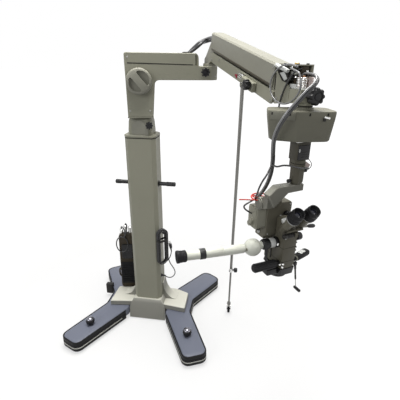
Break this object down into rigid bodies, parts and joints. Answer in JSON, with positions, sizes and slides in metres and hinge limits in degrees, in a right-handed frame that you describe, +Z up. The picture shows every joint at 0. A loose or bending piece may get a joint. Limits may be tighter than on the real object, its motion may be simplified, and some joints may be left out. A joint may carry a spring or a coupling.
{
  "type": "surgical operating microscope",
  "caption": "Floor-standing surgical microscope: cross-shaped foot, tall column, swivel arm, sprung parallelogram arm, hanging binocular head with a side observer tube.",
  "frame": {"origin": "on the floor, under the centre of the column; the foot stands on the plane z = 0", "axes": "+Z up; -Y is the front of the foot, from which the picture was taken; +X is to the right of someone who looks at the front. The first arm points 17.7 degrees from +X towards +Y at rest."},
  "size_m": [1.2663, 1.2285, 1.6896],
  "materials": {
    "leg_casting": "satin blue-grey paint over a casting",
    "bumper_rubber": "matt moulded edge strip",
    "hub_casting": "satin cream paint over a casting",
    "arm_paint": "fine satin beige-grey paint",
    "knob_plastic": "black moulded plastic",
    "wheel_rubber": "worn dark tread",
    "cable_rubber": "satin cable sheath",
    "bright_steel": "bright plated metal",
    "head_paint": "satin olive-brown grey paint over an aluminium casting",
    "bracket_paint": "satin light grey paint over an aluminium casting",
    "white_plastic": "off-white satin finish"
  },
  "bodies": {
    "stand": {"leg_left": "leg_casting", "leg_right": "leg_casting", "bumper_left": "bumper_rubber", "bumper_right": "bumper_rubber", "hub": "hub_casting", "column": "arm_paint", "column_cap": "arm_paint", "pegs": "knob_plastic", "swivel_socket": "arm_paint", "foot_pedal": "knob_plastic", "cord_hank": "cable_rubber"},
    "jack_left": {"jack_left": "knob_plastic"},
    "jack_right": {"jack_right": "knob_plastic"},
    "wheel_front_left": {"wheel_front_left": "wheel_rubber"},
    "wheel_front_right": {"wheel_front_right": "wheel_rubber"},
    "wheel_rear_left": {"wheel_rear_left": "wheel_rubber"},
    "wheel_rear_right": {"wheel_rear_right": "wheel_rubber"},
    "arm_lock_knob": {"arm_lock_knob": "knob_plastic"},
    "arm": {"first_arm": "arm_paint"},
    "tension_knob": {"tension_knob": "arm_paint"},
    "yoke_lock_knob": {"yoke_lock_knob": "knob_plastic"},
    "yoke": {"yoke": "arm_paint"},
    "upper_link": {"upper_link": "arm_paint"},
    "lower_link": {"lower_link": "arm_paint", "clamp": "bright_steel"},
    "clamp_knob": {"clamp_knob": "knob_plastic"},
    "pole": {"pole_upper": "bright_steel"},
    "pole_lower": {"pole_lower": "bright_steel"},
    "pole_wheel": {"pole_wheel": "wheel_rubber"},
    "wrist": {"wrist_frame": "arm_paint", "wrist_rods": "bright_steel"},
    "wrist_knob": {"wrist_knob": "knob_plastic"},
    "suspension": {"coupling_box": "head_paint", "cable_main": "cable_rubber"},
    "x_slide": {"slide_plate": "bright_steel"},
    "y_slide": {"slider": "head_paint", "slider_panel": "knob_plastic"},
    "focus": {"focus_column": "head_paint"},
    "focus_knob": {"focus_knob": "knob_plastic"},
    "bracket_knob": {"bracket_knob": "knob_plastic"},
    "bracket": {"bracket": "bracket_paint"},
    "head": {"carrier": "head_paint", "microscope_body": "head_paint", "lamp_housing": "bracket_paint", "bino_housing": "head_paint", "objective": "knob_plastic", "observer_port": "knob_plastic", "observer_ring": "white_plastic"},
    "eyecup_left": {"eyecup_left": "knob_plastic"},
    "eyecup_right": {"eyecup_right": "knob_plastic"},
    "distance_lever": {"distance_lever": "knob_plastic"},
    "zoom_knob": {"zoom_knob": "knob_plastic"},
    "front_knob": {"front_knob": "knob_plastic"},
    "grip_left": {"grip_left": "knob_plastic"},
    "grip_right": {"grip_right": "knob_plastic"},
    "swing_rod": {"swing_rod": "knob_plastic"},
    "observer_collar": {"observer_collar": "knob_plastic"},
    "observer_ball": {"observer_ball": "white_plastic"},
    "observer_tube": {"observer_tube": "white_plastic"},
    "observer_eyecup": {"observer_eyecup": "knob_plastic"}
  },
  "joints": [
    {"name": "jack_turn_left", "type": "hinge", "parent": "stand", "child": "jack_left", "pos_m": [-0.296, -0.28, 0.05], "axis": [0, 0, 1], "continuous": true},
    {"name": "jack_turn_right", "type": "hinge", "parent": "stand", "child": "jack_right", "pos_m": [0.296, -0.28, 0.05], "axis": [0, 0, 1], "continuous": true},
    {"name": "wheel_spin_front_left", "type": "hinge", "parent": "stand", "child": "wheel_front_left", "pos_m": [-0.36, -0.37, 0.02], "axis": [1, 0, 0], "continuous": true},
    {"name": "wheel_spin_front_right", "type": "hinge", "parent": "stand", "child": "wheel_front_right", "pos_m": [0.36, -0.37, 0.02], "axis": [1, 0, 0], "continuous": true},
    {"name": "wheel_spin_rear_left", "type": "hinge", "parent": "stand", "child": "wheel_rear_left", "pos_m": [-0.352, 0.296, 0.02], "axis": [1, 0, 0], "continuous": true},
    {"name": "wheel_spin_rear_right", "type": "hinge", "parent": "stand", "child": "wheel_rear_right", "pos_m": [0.352, 0.296, 0.02], "axis": [1, 0, 0], "continuous": true},
    {"name": "arm_lock_turn", "type": "hinge", "parent": "stand", "child": "arm_lock_knob", "pos_m": [0.0556, -0.0521, 1.2455], "axis": [0.309, -0.9511, 0], "range_deg": [-180, 180]},
    {"name": "arm_swivel", "type": "hinge", "parent": "stand", "child": "arm", "pos_m": [0, 0, 1.289], "axis": [0, 0, 1], "range_deg": [-28, 12]},
    {"name": "tension_turn", "type": "hinge", "parent": "arm", "child": "tension_knob", "pos_m": [0.01914, -0.07314, 1.464], "axis": [0.304, -0.9527, 0], "continuous": true},
    {"name": "yoke_lock_turn", "type": "hinge", "parent": "arm", "child": "yoke_lock_knob", "pos_m": [0.33748, 0.02793, 1.508], "axis": [0.304, -0.9527, 0], "range_deg": [-180, 180]},
    {"name": "yoke_swivel", "type": "hinge", "parent": "arm", "child": "yoke", "pos_m": [0.35725, 0.11401, 1.537], "axis": [0, 0, 1], "range_deg": [-30, 45]},
    {"name": "arm_tilt", "type": "hinge", "parent": "yoke", "child": "upper_link", "pos_m": [0.40115, 0.02416, 1.647], "axis": [0.8985, 0.439, 0], "range_deg": [-22, 4]},
    {"name": "lower_link_tilt", "type": "hinge", "parent": "yoke", "child": "lower_link", "pos_m": [0.40115, 0.02416, 1.567], "axis": [0.8985, 0.439, 0], "range_deg": [-23, 6]},
    {"name": "wrist_level", "type": "hinge", "parent": "upper_link", "child": "wrist", "pos_m": [0.67415, -0.53458, 1.51368], "axis": [0.8985, 0.439, 0], "range_deg": [-6, 23]},
    {"name": "clamp_turn", "type": "hinge", "parent": "lower_link", "child": "clamp_knob", "pos_m": [0.57183, -0.44248, 1.47742], "axis": [-0.8985, -0.439, 0], "range_deg": [-180, 180]},
    {"name": "pole_swing", "type": "hinge", "parent": "lower_link", "child": "pole", "pos_m": [0.5424, -0.40617, 1.47491], "axis": [0.8985, 0.439, 0], "range_deg": [0, 45]},
    {"name": "pole_length", "type": "slide", "parent": "pole", "child": "pole_lower", "axis": [0.018, -0.306, 0.9519], "range_m": [-0.06, 0.08]},
    {"name": "pole_wheel_spin", "type": "hinge", "parent": "pole_lower", "child": "pole_wheel", "pos_m": [0.515, 0.0594, 0.0268], "axis": [0.9983, 0.0588, 0], "continuous": true},
    {"name": "wrist_knob_turn", "type": "hinge", "parent": "wrist", "child": "wrist_knob", "pos_m": [0.75524, -0.70056, 1.463], "axis": [0.439, -0.8985, 0], "continuous": true},
    {"name": "suspension_swivel", "type": "hinge", "parent": "wrist", "child": "suspension", "pos_m": [0.7462, -0.68205, 1.43], "axis": [0, 0, 1], "range_deg": [-150, 150], "deforming": ["cable_main"]},
    {"name": "x_travel", "type": "slide", "parent": "suspension", "child": "x_slide", "axis": [0.848, 0.5299, 0], "range_m": [-0.02, 0.02], "deforming": ["cable_main"]},
    {"name": "y_travel", "type": "slide", "parent": "x_slide", "child": "y_slide", "axis": [-0.5299, 0.848, 0], "range_m": [-0.02, 0.02], "deforming": ["cable_main"]},
    {"name": "focus_travel", "type": "slide", "parent": "y_slide", "child": "focus", "axis": [0, 0, 1], "range_m": [-0.03, 0], "deforming": ["cable_main"]},
    {"name": "focus_knob_turn", "type": "hinge", "parent": "focus", "child": "focus_knob", "pos_m": [0.76694, -0.67145, 1.222], "axis": [0.848, 0.5299, 0], "continuous": true},
    {"name": "bracket_knob_turn", "type": "hinge", "parent": "focus", "child": "bracket_knob", "pos_m": [0.72773, -0.69477, 1.19], "axis": [-0.848, -0.5299, 0], "continuous": true},
    {"name": "bracket_swivel", "type": "hinge", "parent": "focus", "child": "bracket", "pos_m": [0.7462, -0.68205, 1.17], "axis": [0, 0, 1], "range_deg": [-150, 150], "deforming": ["cable_main"]},
    {"name": "head_tilt", "type": "hinge", "parent": "bracket", "child": "head", "pos_m": [0.65621, -0.68522, 1.104], "axis": [0.848, 0.5299, 0], "range_deg": [-12, 35], "deforming": ["cable_main"]},
    {"name": "diopter_turn_left", "type": "hinge", "parent": "head", "child": "eyecup_left", "pos_m": [0.75086, -0.74989, 1.085], "axis": [0.3263, -0.5221, 0.788], "range_deg": [-120, 120]},
    {"name": "diopter_turn_right", "type": "hinge", "parent": "head", "child": "eyecup_right", "pos_m": [0.80513, -0.71597, 1.085], "axis": [0.3263, -0.5221, 0.788], "range_deg": [-120, 120]},
    {"name": "distance_lever_turn", "type": "hinge", "parent": "head", "child": "distance_lever", "pos_m": [0.77016, -0.65529, 1.004], "axis": [0.848, 0.5299, 0], "range_deg": [-35, 35]},
    {"name": "zoom_turn", "type": "hinge", "parent": "head", "child": "zoom_knob", "pos_m": [0.76889, -0.6608, 0.966], "axis": [0.848, 0.5299, 0], "continuous": true},
    {"name": "front_knob_turn", "type": "hinge", "parent": "head", "child": "front_knob", "pos_m": [0.75765, -0.7032, 0.994], "axis": [0.848, 0.5299, 0], "continuous": true},
    {"name": "grip_turn_left", "type": "hinge", "parent": "head", "child": "grip_left", "pos_m": [0.71663, -0.69227, 0.87], "axis": [0.848, 0.5299, 0], "range_deg": [-30, 30]},
    {"name": "grip_turn_right", "type": "hinge", "parent": "head", "child": "grip_right", "pos_m": [0.76995, -0.66249, 0.872], "axis": [0.848, 0.5299, 0], "range_deg": [-30, 30]},
    {"name": "rod_swing", "type": "hinge", "parent": "head", "child": "swing_rod", "pos_m": [0.77419, -0.66928, 0.859], "axis": [0.848, 0.5299, 0], "range_deg": [-60, 60]},
    {"name": "observer_lock_turn", "type": "hinge", "parent": "head", "child": "observer_collar", "pos_m": [0.67391, -0.69185, 0.946], "axis": [0.848, 0.5299, 0], "range_deg": [-40, 40]},
    {"name": "observer_roll", "type": "hinge", "parent": "head", "child": "observer_ball", "pos_m": [0.64889, -0.70748, 0.946], "axis": [0.848, 0.5299, 0], "range_deg": [-90, 90]},
    {"name": "observer_aim", "type": "hinge", "parent": "observer_ball", "child": "observer_tube", "pos_m": [0.61772, -0.71988, 0.941], "axis": [0, 0, 1], "range_deg": [-15, 15]},
    {"name": "observer_eyecup_turn", "type": "hinge", "parent": "observer_tube", "child": "observer_eyecup", "pos_m": [0.3943, -0.81795, 0.941], "axis": [-0.9157, -0.4019, 0], "range_deg": [-120, 120]}
  ],
  "couplings": [
    {"joint": "lower_link_tilt", "follows": "arm_tilt", "ratio": 1},
    {"joint": "wrist_level", "follows": "arm_tilt", "ratio": -1}
  ]
}
